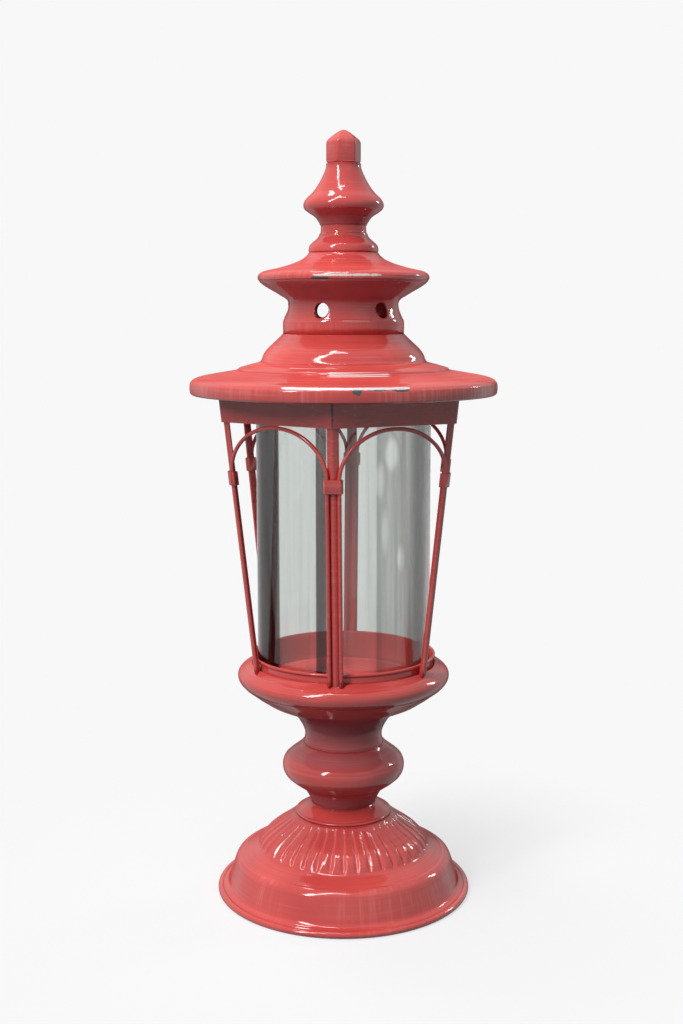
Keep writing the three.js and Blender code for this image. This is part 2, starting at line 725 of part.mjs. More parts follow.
// Frame
const seatSolid = saucerBlock();
cornerNames.forEach((name, corner) => {
  const before = (corner + sides - 1) % sides;
  const wires = [];
  if (archNames[corner]) wires.push(1);
  if (archNames[before]) wires.push(-1);
  add(`post_${name}`, post(corner, seatSolid), red);
  add(`strap_${name}`, strap(corner, wires), red);
});
archNames.forEach((name, corner) => {
  if (name) add(`arch_wire_${name}`, hoop(corner), red);
});
add('hex_band', hexBand(), deepRed);

// Glass
add('glass_cylinder', glassTube(), clearGlass, 0.05, 0, 0.3).position.z = glassSeat;

// Roof
add('roof_shell', roofShell(), red).position.z = roofSeat;
add('locator_ring', locatorRing(), deepRed);
add('bridge_bar', bridgeBar(), zincGrey, 0.4, 0.8);
add('bridge_washer', ring(rodRadius * 3, boreRadius, washerThickness), zincGrey, 0.4, 0.8).position.z =
  barTop - strapBarThickness - gap - washerThickness;
add('bridge_nut', nut(), zincGrey, 0.4, 0.8).position.z =
  barTop - strapBarThickness - gap * 2 - washerThickness - nutHeight;
add('chimney', chimney(), red).position.z = chimneySeat;
add('upper_cap', upperCap(), red).position.z = capSeat;
add('finial_spool', finialSpool(), red).position.z = spoolSeat;
add('finial_bead', finialBead(), red).position.z = beadSeat;
const knob = add('finial_knob', finialKnob(), red);
knob.position.z = knobSeat;
knob.rotation.z = knobTurn * degrees;
add('finial_rod', finialRod(), zincGrey, 0.4, 0.8);

export default lantern;
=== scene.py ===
# Candle lantern on a turned pedestal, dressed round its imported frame.
# Lengths are typed in millimetres, the lamps' in metres, and become metres where a mesh is made.
import math

import bmesh
import bpy
from mathutils import Matrix, Vector


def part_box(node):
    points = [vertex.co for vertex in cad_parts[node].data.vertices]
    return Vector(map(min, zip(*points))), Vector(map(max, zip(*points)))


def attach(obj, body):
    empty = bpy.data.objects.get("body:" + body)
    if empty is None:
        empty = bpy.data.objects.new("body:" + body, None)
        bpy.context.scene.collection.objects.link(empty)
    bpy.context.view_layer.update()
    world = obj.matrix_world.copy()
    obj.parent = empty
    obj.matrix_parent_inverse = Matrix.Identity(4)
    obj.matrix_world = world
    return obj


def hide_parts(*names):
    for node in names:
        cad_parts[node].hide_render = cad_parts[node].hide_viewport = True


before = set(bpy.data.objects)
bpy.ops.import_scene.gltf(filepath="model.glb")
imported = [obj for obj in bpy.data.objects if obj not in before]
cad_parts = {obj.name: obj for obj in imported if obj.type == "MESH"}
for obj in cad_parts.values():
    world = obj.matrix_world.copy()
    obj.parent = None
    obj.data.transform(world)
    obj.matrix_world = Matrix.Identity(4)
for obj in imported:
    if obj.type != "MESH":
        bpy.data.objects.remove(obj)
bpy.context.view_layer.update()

mm = 0.001
scene = bpy.context.scene
print("frame loaded:", len(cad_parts), "nodes")


# A value wraps a socket, and arithmetic on values adds Math nodes.
class Value:
    def __init__(self, finish, socket):
        self.finish = finish
        self.socket = socket

    def sum(self, operation, *terms):
        return self.finish.sum(operation, *terms)

    def __add__(self, other):
        return self.sum("ADD", self, other)

    def __radd__(self, other):
        return self.sum("ADD", other, self)

    def __sub__(self, other):
        return self.sum("SUBTRACT", self, other)

    def __rsub__(self, other):
        return self.sum("SUBTRACT", other, self)

    def __mul__(self, other):
        return self.sum("MULTIPLY", self, other)

    def __rmul__(self, other):
        return self.sum("MULTIPLY", other, self)

    def __truediv__(self, other):
        return self.sum("DIVIDE", self, other)

    def root(self):
        return self.sum("SQRT", self)

    def sine(self):
        return self.sum("SINE", self)

    def most(self, other):
        return self.sum("MAXIMUM", self, other)

    def held(self):
        return self.sum("MINIMUM", self.most(0.0), 1.0)

    # 0 below a start, rising to 1 above it with a slope.
    def past(self, start, slope):
        return ((self - start) * slope).held()

    # 0 above a start, rising to 1 below it with a slope.
    def under(self, start, slope):
        return ((start - self) * slope).held()


# One material or world under construction. add() makes any node and returns one of its outputs.
class Finish:
    def __init__(self, owner):
        self.owner = owner
        owner.use_nodes = True
        self.tree = owner.node_tree
        self.tree.nodes.clear()
        self.place = self.add("ShaderNodeTexCoord", output="Object")

    def add(self, kind, settings=None, sockets=None, output=0):
        node = self.tree.nodes.new(kind)
        for key, setting in (settings or {}).items():
            setattr(node, key, setting)
        for key, item in (sockets or {}).items():
            if isinstance(item, Value):
                self.tree.links.new(item.socket, node.inputs[key])
            else:
                node.inputs[key].default_value = item
        return Value(self, node.outputs[output])

    def sum(self, operation, *terms):
        return self.add("ShaderNodeMath", {"operation": operation}, dict(enumerate(terms)))

    def across(self):
        return self.add("ShaderNodeSeparateXYZ", {}, {0: self.place}, "X")

    def depth(self):
        return self.add("ShaderNodeSeparateXYZ", {}, {0: self.place}, "Y")

    def height(self):
        return self.add("ShaderNodeSeparateXYZ", {}, {0: self.place}, "Z")

    def distance(self, centre, flatten=(1, 1, 1)):
        off = self.add("ShaderNodeVectorMath", {"operation": "SUBTRACT"}, {
            0: self.place, 1: tuple(part * mm for part in centre)})
        flat = self.add("ShaderNodeVectorMath", {"operation": "MULTIPLY"}, {0: off, 1: flatten})
        return self.add("ShaderNodeVectorMath", {"operation": "LENGTH"}, {0: flat}, "Value")

    def fromAxis(self):
        return self.distance((0, 0, 0), (1, 1, 0))

    def noise(self, place, size, detail):
        return self.add("ShaderNodeTexNoise", {}, {
            "Vector": place, "Scale": 1 / (size * mm), "Detail": detail, "Roughness": 0.55})

    # Grain of a size in millimetres. A stretch of (1, 1, 0.1) makes upright streaks.
    def grain(self, size, detail=2.0, stretch=(1, 1, 1), shift=0.0):
        place = self.add("ShaderNodeMapping", {}, {
            "Vector": self.place, "Scale": stretch, "Location": (shift, shift, shift)})
        return self.noise(place, size, detail)

    # Upright streaks that follow the way round the axis, with their join at the back.
    def runs(self, size, radius):
        around = self.sum("ARCTAN2", self.across(), 0 - self.depth()) * (radius * mm)
        place = self.add("ShaderNodeCombineXYZ", {}, {"X": around, "Z": self.height() * 0.05})
        return self.noise(place, size, 3)

    # Fine rings left by the spinning lathe, a little off centre.
    def turned(self, size):
        radius = self.fromAxis() + self.across() * 0.02
        place = self.add("ShaderNodeCombineXYZ", {}, {
            "X": radius, "Y": self.depth() * 0.03, "Z": self.height()})
        return self.noise(place, size, 2)

    # 1 on a ring round the upright axis, falling to 0 at a reach from it.
    def ring(self, radius, height, reach):
        across = self.fromAxis() - radius * mm
        up = self.height() - height * mm
        return (1 - (across * across + up * up).root() / (reach * mm)).held()

    # 1 at a point, falling to 0 at a reach from it.
    def spot(self, centre, reach, flatten=(1, 1, 1)):
        return (1 - self.distance(centre, flatten) / (reach * mm)).held()

    # 1 between two values of x, falling to 0 towards both.
    def between(self, start, end, fade):
        x = self.across() / mm
        return ((x - start) / fade).held() * ((end - x) / fade).held()

    # 0 where a surface faces the eye, rising to 1 past a slant.
    def slant(self, start, over):
        facing = self.add("ShaderNodeLayerWeight", {}, {"Blend": 0.5}, "Facing")
        return ((facing - start) / over).held()

    def blend(self, share, first, second):
        return self.add("ShaderNodeMix", {"data_type": "RGBA"}, {0: share, 6: first, 7: second}, 2)

    def mix(self, share, first, second):
        return self.add("ShaderNodeMixShader", {}, {0: share, 1: first, 2: second})

    def bump(self, height):
        return self.add("ShaderNodeBump", {}, {"Height": height, "Distance": 1.0, "Strength": 1.0})

    def close(self, shader, output="ShaderNodeOutputMaterial"):
        out = self.tree.nodes.new(output)
        self.tree.links.new(shader.socket, out.inputs["Surface"])
        return self.owner


def newFinish(name):
    return Finish(bpy.data.materials.new(name))


# Glossy red enamel on pressed steel. A pair is the value of a grain where its mark starts, and the
# mark's slope. A spread widens the full part of a soft mark.
enamelLook = {
    "bright": (0.740, 0.094, 0.081, 1),
    "deep": (0.600, 0.062, 0.058, 1),
    "creaseDirtAndShade": (0.260, 0.020, 0.024, 1),      # thick enamel and dirt in the creases, and painted shade in creases and under overhangs
    "steel": (0.085, 0.078, 0.080, 1),       # the dark sheet where the enamel has chipped
    "thinEnamelAndPaintedSheen": (0.860, 0.270, 0.240, 1),       # thin enamel in pale rings, and painted sheen in the streaks over rolled edges
    "shaded": (0.400, 0.170, 0.185, 1),      # painted shade: darker, greyer enamel on the undersides
    "paintedHighlight": (0.840, 0.790, 0.760, 1),      # painted highlight: pale lines in the ground coat's colour
    "ior": 1.44,
    "roughness": 0.085,
    "roughFrom": 0.4,
    "roughPatches": 0.16,
    "coat": 0.12,
    "coatRoughness": 0.03,
    "broadGrain": 70,
    "broadContrast": 2.6,
    "midGrain": 11,
    "midPatches": (0.5, 0.9),
    "spinGrain": 1.8,                        # rings left by the lathe
    "spinHeight": 0.012,
    "deepRings": (0.50, 3.2),
    "deepRingShare": 0.8,
    "paleRings": (0.43, 4),
    "streakGrain": 2.2,
    "streakRuns": (0.46, 4.5),
    "streakPatches": (0.44, 7),
    "streakSpread": 1.6,
    "shadeSpread": 1.5,
    "dirtAndShadeLeast": 0.3,
    "dirtAndShadeShare": 0.55,
    "chipGrain": 2.4,
    "chipSpread": 1.1,
    "chipSlope": 14,
    "chipDepth": 0.12,
    "chipRoughness": 0.4,
    "edgeSpread": 0.30,
    "edgeLeast": 0.02,
    "edgeSlope": 26,
    "lineSpread": 1.5,
    "lineFade": 9,
    "lineSlope": 6,
    "frontSlope": 100,
    "waveGrain": 26,
    "waveHeight": 0.30,                      # uneven spinning, in millimetres
    "rippleGrain": 7,
    "rippleHeight": 0.030,
    "peelGrain": 1.3,
    "peelHeight": 0.0022,
    "dullFrom": 0.60,                        # past this slant the gloss fades, as under fine dust
    "dullOver": 0.22,
    "dullMost": 0.85,
}


def strongest(marks):
    most = None
    for mark in marks:
        most = mark if most is None else most.most(mark)
    return most


# Edges and creases are rings of (radius, height, reach), and streaks, shades and ridges are rings with
# a strength. Creases take dirt and painted shade, shades take painted shade, and streaks take thin enamel
# and painted sheen. Painted highlight lines add their first and last x on the front, their cover and
# whether they follow the lathe. Chips are (x, y, z, reach, stretch across, stretch up). Pale is the
# share of pale rings.
def enamel(name, edges=(), creases=(), chips=(), streaks=(), shades=(), lines=(), ridges=(), pale=0.4):
    look = enamelLook
    finish = newFinish(name)
    broad = finish.grain(look["broadGrain"])
    middle = finish.grain(look["midGrain"], 4, shift=0.3)
    flake = finish.grain(look["chipGrain"], 4, shift=0.7)
    spin = finish.turned(look["spinGrain"])
    share = ((broad - 0.5) * look["broadContrast"] + 0.5).held()
    color = finish.blend(share, look["deep"], look["bright"])
    color = finish.blend(middle.past(*look["midPatches"]), color, look["deep"])
    color = finish.blend(spin.past(*look["deepRings"]) * look["deepRingShare"], color, look["deep"])
    color = finish.blend(spin.under(*look["paleRings"]) * pale, color, look["thinEnamelAndPaintedSheen"])

    # Streaks: pale runs of thin enamel, and painted sheen on the rolled rims and bands.
    for radius, height, reach, strength in streaks:
        run = finish.runs(look["streakGrain"], radius).past(*look["streakRuns"])
        patch = broad.past(*look["streakPatches"]) * strength
        share = (finish.ring(radius, height, reach) * look["streakSpread"]).held() * run * patch
        color = finish.blend(share, color, look["thinEnamelAndPaintedSheen"])
    # Painted shade: the undersides are blended darker and greyer, and lose their gloss.
    shade = strongest(
        (finish.ring(radius, height, reach) * look["shadeSpread"]).held() * strength
        for radius, height, reach, strength in shades)
    if shade is not None:
        color = finish.blend(shade, color, look["shaded"])
    # Dirt and painted shade darken the creases.
    dirtAndShade = strongest(finish.ring(*crease) for crease in creases)
    if dirtAndShade is not None:
        share = (dirtAndShade * (middle + look["dirtAndShadeLeast"])).held() * look["dirtAndShadeShare"]
        color = finish.blend(share, color, look["creaseDirtAndShade"])

    rough = look["roughness"] + (middle - look["roughFrom"]).held() * look["roughPatches"]
    coat = look["coat"]
    wave = finish.grain(look["waveGrain"], 1, shift=0.1) * (look["waveHeight"] * mm)
    ripple = finish.grain(look["rippleGrain"], 2, shift=0.5) * (look["rippleHeight"] * mm)
    peel = finish.grain(look["peelGrain"], 1) * (look["peelHeight"] * mm)
    relief = wave + ripple + peel + spin * (look["spinHeight"] * mm)
    for radius, height, reach, strength in ridges:
        relief = relief + finish.ring(radius, height, reach) * spin * (strength * mm)

    worn = []
    for edge in edges:
        mark = finish.ring(*edge) * look["edgeSpread"] - look["edgeLeast"]
        worn.append((mark - flake) * look["edgeSlope"])
    for x, y, z, reach, across, up in chips:
        mark = finish.spot((x, y, z), reach, (1 / across, 1, 1 / up)) * look["chipSpread"]
        worn.append((mark - flake) * look["chipSlope"])
    if worn:
        bare = strongest(worn).held()
        color = finish.blend(bare, color, look["steel"])
        rough = rough + bare * look["chipRoughness"]
        coat = (1 - bare) * coat
        relief = relief - bare * (look["chipDepth"] * mm)
    # Painted highlights: pale lines on the front half only, in the ground coat's colour.
    for radius, height, reach, start, end, cover, turned in lines:
        front = (0 - finish.depth() * look["frontSlope"]).held()
        inside = finish.between(start, end, look["lineFade"]) * front
        mark = (finish.ring(radius, height, reach) * look["lineSpread"]).held() * inside * cover
        line = (mark - (spin if turned else flake)) * look["lineSlope"]
        color = finish.blend(line.held(), color, look["paintedHighlight"])

    shared = {"Base Color": color, "Roughness": rough, "Normal": finish.bump(relief), "IOR": look["ior"]}
    gloss = finish.add("ShaderNodeBsdfPrincipled", {}, {
        **shared, "Coat Weight": coat, "Coat Roughness": look["coatRoughness"]})
    dull = finish.add("ShaderNodeBsdfPrincipled", {}, {**shared, "Specular IOR Level": 0.0})
    share = finish.slant(look["dullFrom"], look["dullOver"]) * look["dullMost"]
    if shade is not None:
        share = share.most(shade)
    return finish.close(finish.mix(share, gloss, dull))


markKinds = ("edges", "creases", "chips", "streaks", "shades", "lines", "ridges")


# The enamel of a node whose own values list its marks.
def markedEnamel(node, look):
    return enamel(node + "_enamel", **{kind: look[kind] for kind in markKinds if kind in look})


# Clear glass with a green cast, streaks left by candles, a few smudges, and painted reflections: dark
# strips (from x, to x, depth) on the front half stand for reflected dark surroundings, and paler places
# (x, y, z, reach, flatten) for reflected lights.
glassLook = {
    "clear": (0.78, 0.805, 0.785, 1),
    "sootAndPaintedReflection": (0.13, 0.112, 0.112, 1),
    "ior": 1.46,
    "roughness": 0.012,
    "strips": [(-65, -41, 1.0), (-14.6, -6.5, 0.97), (27, 64, 0.5)],
    "stripEdge": 0.8,
    "stripGrain": 0.7,
    "front": (0.004, 250),                   # the strips end this far behind the middle, in metres
    "paleReflections": [(38, -51, 336, 7, 0.5), (30, -56, 318, 4, 0.25), (44, -46, 262, 4, 0.35),
              (-30, -56, 322, 8, 0.4), (33, -54, 282, 3, 0.15)],
    "paleReflectionSpread": 2.4,
    "paleReflectionDepth": 0.4,
    "streakGrain": 9,
    "streakFrom": 0.56,
    "streakDepth": 1.6,
    "fineGrain": 2.5,
    "fineDepth": 0.3,
    "smudgeGrain": 24,
    "smudges": (0.56, 1.2),
    "smudgeRoughness": 0.35,
    "waveGrain": 55,
    "waveHeight": 0.10,
    "bendFrom": 0.35,                        # past this slant the rims mirror less, as soot takes it
    "bendOver": 0.3,
    "bendMost": 0.9,
    "bendIor": 1.12,
}


def oldGlass(name):
    look = glassLook
    finish = newFinish(name)
    streak = finish.grain(look["streakGrain"], 2, (1, 1, 0.025))
    fine = finish.grain(look["fineGrain"], 3, (1, 1, 0.02), 0.4)
    smudge = finish.grain(look["smudgeGrain"], 5)
    front = finish.depth().under(*look["front"])
    sootAndReflection = (streak - look["streakFrom"]) * look["streakDepth"]
    # Painted reflections: dark strips on the front half, and paler places lifted out below.
    for start, end, depth in look["strips"]:
        inside = finish.between(start, end, look["stripEdge"]) * front
        sootAndReflection = sootAndReflection.most(inside * (depth + (streak - 0.5) * look["stripGrain"]))
    sootAndReflection = sootAndReflection + (fine - 0.5) * look["fineDepth"]
    for x, y, z, reach, flatten in look["paleReflections"]:
        mark = (finish.spot((x, y, z), reach, (1, 1, flatten)) * look["paleReflectionSpread"]).held()
        sootAndReflection = sootAndReflection - mark * look["paleReflectionDepth"]
    wave = finish.grain(look["waveGrain"], 1, (1, 1, 0.3)) * (look["waveHeight"] * mm)
    shared = {
        "Base Color": finish.blend(sootAndReflection.held(), look["clear"], look["sootAndPaintedReflection"]),
        "Roughness": look["roughness"] + smudge.past(*look["smudges"]) * look["smudgeRoughness"],
        "Normal": finish.bump(wave),
        "Transmission Weight": 1.0,
    }
    facing = finish.add("ShaderNodeBsdfPrincipled", {}, {**shared, "IOR": look["ior"]})
    slanting = finish.add("ShaderNodeBsdfPrincipled", {}, {**shared, "IOR": look["bendIor"]})
    share = finish.slant(look["bendFrom"], look["bendOver"]) * look["bendMost"]
    return finish.close(finish.mix(share, facing, slanting))


zincLook = {
    "bright": (0.60, 0.60, 0.58, 1),
    "dull": (0.36, 0.35, 0.33, 1),
    "metallic": 0.9,
    "roughness": 0.3,
    "spangleGrain": 3,
    "spangles": (0.4, 3),
    "spangleRoughness": 0.25,
    "spangleHeight": 0.02,
    "threadPitch": 1.0,
    "threadDepth": 0.16,
}


# Dull zinc plate. A threaded rod gets its thread as fine rings.
def zinc(name, threaded=False):
    look = zincLook
    finish = newFinish(name)
    spangle = finish.grain(look["spangleGrain"], 3)
    color = finish.blend(spangle.past(*look["spangles"]), look["dull"], look["bright"])
    relief = spangle * (look["spangleHeight"] * mm)
    if threaded:
        thread = (finish.height() * (math.tau / (look["threadPitch"] * mm))).sine()
        relief = relief + thread * (look["threadDepth"] * mm)
    shader = finish.add("ShaderNodeBsdfPrincipled", {}, {
        "Base Color": color, "Metallic": look["metallic"],
        "Roughness": look["roughness"] + spangle * look["spangleRoughness"], "Normal": finish.bump(relief)})
    return finish.close(shader)


samePlace = 0.01 * mm     # points closer than this are one
weld = 0.002 * mm


def bevel(bm, geom, width, segments, affect="EDGES", clamp=False):
    bmesh.ops.bevel(
        bm, geom=geom, offset=width * mm, offset_type="OFFSET", segments=segments, profile=0.5,
        affect=affect, material=-1, clamp_overlap=clamp)


def onlyVerts(geom):
    return [item for item in geom if isinstance(item, bmesh.types.BMVert)]


# Turns a curve into mesh and removes it.
def meshFromCurve(curve):
    drawing = bpy.data.objects.new("drawing", curve)
    mesh = bpy.data.meshes.new_from_object(drawing)
    bm = bmesh.new()
    bm.from_mesh(mesh)
    bpy.data.objects.remove(drawing)
    bpy.data.curves.remove(curve)
    bpy.data.meshes.remove(mesh)
    return bm


# Draws an outline in the XZ plane. A point is (radius, height) where the line runs smoothly and
# (radius, height, rounding) at a corner. Straight runs lose their spare points outside a kept height.
def drawOutline(points, closed=False, steps=6, keep=None):
    curve = bpy.data.curves.new("outline", "CURVE")
    curve.dimensions = "3D"
    curve.resolution_u = steps
    spline = curve.splines.new("BEZIER")
    spline.use_cyclic_u = closed
    spline.bezier_points.add(len(points) - 1)
    for knot, point in zip(spline.bezier_points, points):
        knot.co = (point[0] * mm, 0, point[1] * mm)
        knot.handle_left_type = knot.handle_right_type = "VECTOR" if len(point) == 3 else "AUTO"
    bm = meshFromCurve(curve)
    for radius, height, rounding in [point for point in points if len(point) == 3]:
        corner = Vector((radius * mm, 0, height * mm))
        found = [vert for vert in bm.verts if (vert.co - corner).length < samePlace]
        if rounding and found:
            bevel(bm, found, rounding, 3, "VERTICES", True)
    spare = [vert for vert in bm.verts if not keep or not keep[0] < vert.co.z / mm < keep[1]]
    bmesh.ops.dissolve_limit(bm, angle_limit=math.radians(1.2), verts=spare, edges=bm.edges)
    return bm


# An arc for an outline, as smooth points round a centre.
def arc(radius, height, size, start, end, count):
    turns = [math.radians(start + (end - start) * index / (count - 1)) for index in range(count)]
    return [(radius + size * math.cos(turn), height + size * math.sin(turn)) for turn in turns]


# Turns an outline about the upright axis: one wedge first, then the wedge round the axis.
def turnOutline(bm, steps, wedges=16):
    axis = {"cent": (0, 0, 0), "axis": (0, 0, 1), "dvec": (0, 0, 0)}
    bmesh.ops.spin(
        bm, geom=bm.verts[:] + bm.edges[:], angle=math.tau / wedges, steps=steps // wedges,
        use_merge=False, **axis)
    wedge = bm.verts[:] + bm.edges[:] + bm.faces[:]
    bmesh.ops.spin(
        bm, geom=wedge, angle=math.tau * (wedges - 1) / wedges, steps=wedges - 1, use_duplicate=True,
        **axis)
    bmesh.ops.remove_doubles(bm, verts=bm.verts, dist=2 * weld)
    bmesh.ops.recalc_face_normals(bm, faces=bm.faces)


packedGap = 0.3       # between neighbouring pieces, as packed
seam = 0.27 * mm      # how much of it the dressed pieces close up


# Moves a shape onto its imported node: the same lowest point and widest radius. A shell in a stack
# reaches down to the piece below it.
def fitToNode(bm, node, radius=None, closeUp=False):
    low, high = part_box(node)
    if closeUp:
        low.z -= seam
    lowest = min(vert.co.z for vert in bm.verts)
    highest = max(vert.co.z for vert in bm.verts)
    widest = max(math.hypot(vert.co.x, vert.co.y) for vert in bm.verts)
    across = (radius * mm if radius else max(high.x, -low.y)) / widest
    up = (high.z - low.z) / (highest - lowest)
    bmesh.ops.translate(bm, vec=(0, 0, -lowest), verts=bm.verts)
    bmesh.ops.scale(bm, vec=(across, across, up), verts=bm.verts)
    bmesh.ops.translate(bm, vec=(0, 0, low.z), verts=bm.verts)


def newPiece(name, bm, smooth=True):
    mesh = bpy.data.meshes.new(name)
    for face in bm.faces:
        face.smooth = smooth
    bm.to_mesh(mesh)
    bm.free()
    piece = bpy.data.objects.new(name, mesh)
    scene.collection.objects.link(piece)
    return piece


def pieceFor(node, bm, smooth=True):
    return newPiece(node.replace("_", ".") + ".piece", bm, smooth)


def thicken(piece, thickness):
    wall = piece.modifiers.new("wall", "SOLIDIFY")
    wall.thickness = thickness * mm
    wall.offset = -1
    wall.use_even_offset = True
    wall.thickness_clamp = 2
    return piece


def soften(piece, width, segments=2, angle=25):
    edge = piece.modifiers.new("edge", "BEVEL")
    edge.width = width * mm
    edge.segments = segments
    edge.limit_method = "ANGLE"
    edge.angle_limit = math.radians(angle)
    edge.harden_normals = True
    return piece


def place(piece, body, slotName, material, *nodes):
    piece.data.materials.clear()
    piece.data.materials.append(material)
    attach(piece, body)
    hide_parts(*nodes)
    return piece


sheet = 1.2      # the steel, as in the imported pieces
bore = 3.3       # holes for the clamping rods
red = "red_enamel"

# Foot: rolled rim, leaning wall, ridge, sloping shelf and a dome with scooped flutes
foot = {
    "radius": 95, "rimRadius": 92.6, "rimBead": 2.4,
    "wall": [(91.6, 4.75, 0.1), (91.1, 4.35, 0.15), (90.2, 4.9), (88.6, 5.6), (87.4, 6.6), (86.2, 9.6),
             (84.5, 15), (82.6, 20.4), (81.1, 24.4), (80.5, 25.5)],
    "ridge": [(79.4, 26.7), (77.8, 27.9), (76.4, 28.7), (75.6, 28.9), (75.0, 28.75, 0.15),
              (74.4, 29.1, 0.25)],
    "shelf": [(72, 30.4), (68, 32.3), (65.2, 33.8), (63.9, 34.9)],
    "dome": [(63.1, 36.4), (61.6, 39.4), (58.4, 43), (54.4, 46.4), (50.2, 49.3), (46.6, 51.8),
             (43.1, 54.3), (39.4, 57.2), (37.4, 59)],
    "top": [(36.4, 59.6, 0.4), (bore, 59.6, 0)],
    "inside": [(bore, 58.4, 0), (36, 58.2, 0), (50, 47, 0), (61, 35, 0), (79, 25, 0), (88, 3.4, 0)],
    "steps": 400,
    "flutes": 40, "fluteLow": 35.0, "fluteHigh": 58.4, "fluteDepth": 1.9, "fluteShare": 0.25,
    "lowRound": 0.22,            # the part of a flute's length that its lower end takes
    "highRound": 0.2,
    "highFrom": 0.8,
    "narrowing": 0.38,           # towards the top
    "shallowing": 0.62,
    "fluteLeast": 0.01,
}


# How deep a flute is at a place: u runs across it from -0.5 to 0.5, and t up it from 0 to 1.
def scoop(u, t, look):
    lowEnd = max(0.0, 1 - (max(0.0, look["lowRound"] - t) / look["lowRound"]) ** 2) ** 0.5
    highEnd = max(0.0, 1 - (max(0.0, t - look["highFrom"]) / look["highRound"]) ** 2) ** 0.5
    share = look["fluteShare"] * (1 - look["narrowing"] * t) * lowEnd * highEnd
    if share < look["fluteLeast"] or abs(u) >= share:
        return 0.0
    deep = look["fluteDepth"] * (1 - look["shallowing"] * t) * min(lowEnd, highEnd)
    return deep * (1 - (u / share) ** 2)


def makeFoot(look):
    outline = arc(look["rimRadius"], look["rimBead"], look["rimBead"], 190, 450, 14)
    for part in ("wall", "ridge", "shelf", "dome", "top", "inside"):
        outline = outline + look[part]
    bm = drawOutline(outline, True, 5, (look["fluteLow"] - 1, look["fluteHigh"]))
    turnOutline(bm, look["steps"], look["flutes"])
    fitToNode(bm, "foot_shell", look["radius"])
    bm.normal_update()
    rise = look["fluteHigh"] - look["fluteLow"]
    moves = []
    for vert in bm.verts:
        t = (vert.co.z / mm - look["fluteLow"]) / rise
        if 0 < t < 1 and vert.normal.z > 0:
            turn = math.atan2(vert.co.y, vert.co.x) / math.tau * look["flutes"]
            u = turn - math.floor(turn) - 0.5
            moves.append((vert, vert.normal * (scoop(u, t, look) * mm)))
    for vert, move in moves:
        vert.co -= move
    return newPiece("footPiece", bm)


place(makeFoot(foot), "stand", red, enamel(
    "footEnamel", edges=[(95, 2.4, 2.2), (80.8, 25.2, 1.8)], creases=[(91.1, 4.3, 1.3), (36.6, 59.4, 2.2)],
    streaks=[(94, 3.4, 4.0, 0.35), (84, 15, 14, 0.3), (78, 27, 3, 0.25)],
    ridges=[(72, 31, 9, 0.03)], pale=0.12), "foot_shell")
print("foot done")

# Stem and saucer: spun shells from their outsides, each given the sheet's thickness inwards
# Shades in these marks are painted shade on the undersides.
stem = {
    "foot_collar": {
        "outline": [(35.2, 0, 0.2), (36, 0.8), (35.7, 1.6), (34.9, 1.9, 0.2), (34.2, 2.2, 0.3),
                    (32.2, 3.6), (29.5, 5.4), (27.2, 6.7), (25, 7.9), (24.6, 8.3, 0.1), (bore, 8.3, 0)],
        "edges": [(36, 60.7, 1.4)], "creases": [(34.6, 62, 1.2), (25, 68, 2.0)]},
    "stem_bulb": {
        "outline": [(bore, 0, 0), (24.2, 0, 0.3), (24.5, 1.6), (27, 6.2), (29.8, 10.4), (34.4, 14),
                    (40.3, 18.4), (44.2, 22.8), (45.6, 28.7), (44.7, 32.8), (43.6, 34.8, 0.5),
                    (41.2, 37), (37.8, 39.6), (34.2, 42.4), (31.8, 44.6), (31, 45.6, 0.3),
                    (bore, 45.6, 0)],
        "edges": [(43.6, 103.3, 1.3)], "creases": [(24.5, 69, 2.2), (31, 114, 1.0)],
        "shades": [(26, 74, 13, 0.6), (36, 108, 11, 0.5), (40, 87, 9, 0.4)]},
    "bowl_shell": {
        "outline": [(bore, 0, 0), (29.9, 0, 0.3), (29.2, 2.6), (28.7, 7), (30, 12), (32.4, 16.6),
                    (35.4, 20.8), (41.4, 25.4), (52, 30.2), (58, 33.2), (61.3, 35.5, 0.4), (65.4, 38.2),
                    (69.8, 41.6), (72.8, 43.8), (74.4, 45, 0.2), (65.4, 45, 0)],
        "edges": [(61.3, 149.9, 1.0)], "creases": [(29.6, 115, 1.0), (74.4, 159.4, 1.2)],
        "shades": [(38, 138, 32, 0.7)]},
    "saucer_shell": {
        "outline": [(bore, 0, 0), (74.3, 0, 0.2), (75.2, 0.8), (77.2, 2.9), (78.4, 5.6), (78.4, 8.6),
                    (77, 11), (74.6, 12.9), (72, 14.5), (70.4, 15.7), (69.2, 16.5), (68.2, 16.6, 0.3),
                    (67.3, 16, 0.2), (67.3, 2, 0.3), (66.4, 1.3, 0.2), (bore, 1.3, 0)],
        "closed": True, "creases": [(68, 176.2, 1.6), (74.6, 160, 1.0)], "ridges": [(73, 174, 6, 0.03)]},
    "candle_pan": {
        "outline": [(bore, 0, 0), (65.6, 0, 0.3), (66.9, 1.2, 0.3)]
        + arc(66.9, 20.8, 1.1, -80, 180, 9)
        + [(65.7, 19.9, 0.1), (65.7, 2.8, 0.4), (64.4, 1.2, 0.4), (59.6, 1.2), (58, 1.6), (56.5, 2.3),
           (55, 1.6), (53.4, 1.2), (36, 1.2), (34.4, 1.6), (32.9, 2.3), (31.4, 1.6), (29.8, 1.2),
           (bore, 1.2, 0)],
        "closed": True, "edges": [(67, 183.1, 1.3)],
        "creases": [(65, 162.5, 2.5), (54, 162.4, 1.6), (31, 162.4, 1.6)],
        "ridges": [(45, 162, 26, 0.30)]},
}

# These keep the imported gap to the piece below
loose = ("roof_shell", "locator_ring", "candle_pan")


def makeShell(node, look, steps=144):
    closed = look.get("closed", False)
    bm = drawOutline(look["outline"], closed)
    turnOutline(bm, steps)
    fitToNode(bm, node, closeUp=node not in loose)
    piece = pieceFor(node, bm)
    return piece if closed else thicken(piece, sheet)


for node, look in stem.items():
    place(makeShell(node, look), "stand", red, markedEnamel(node, look), node)
print("stem and saucer done")

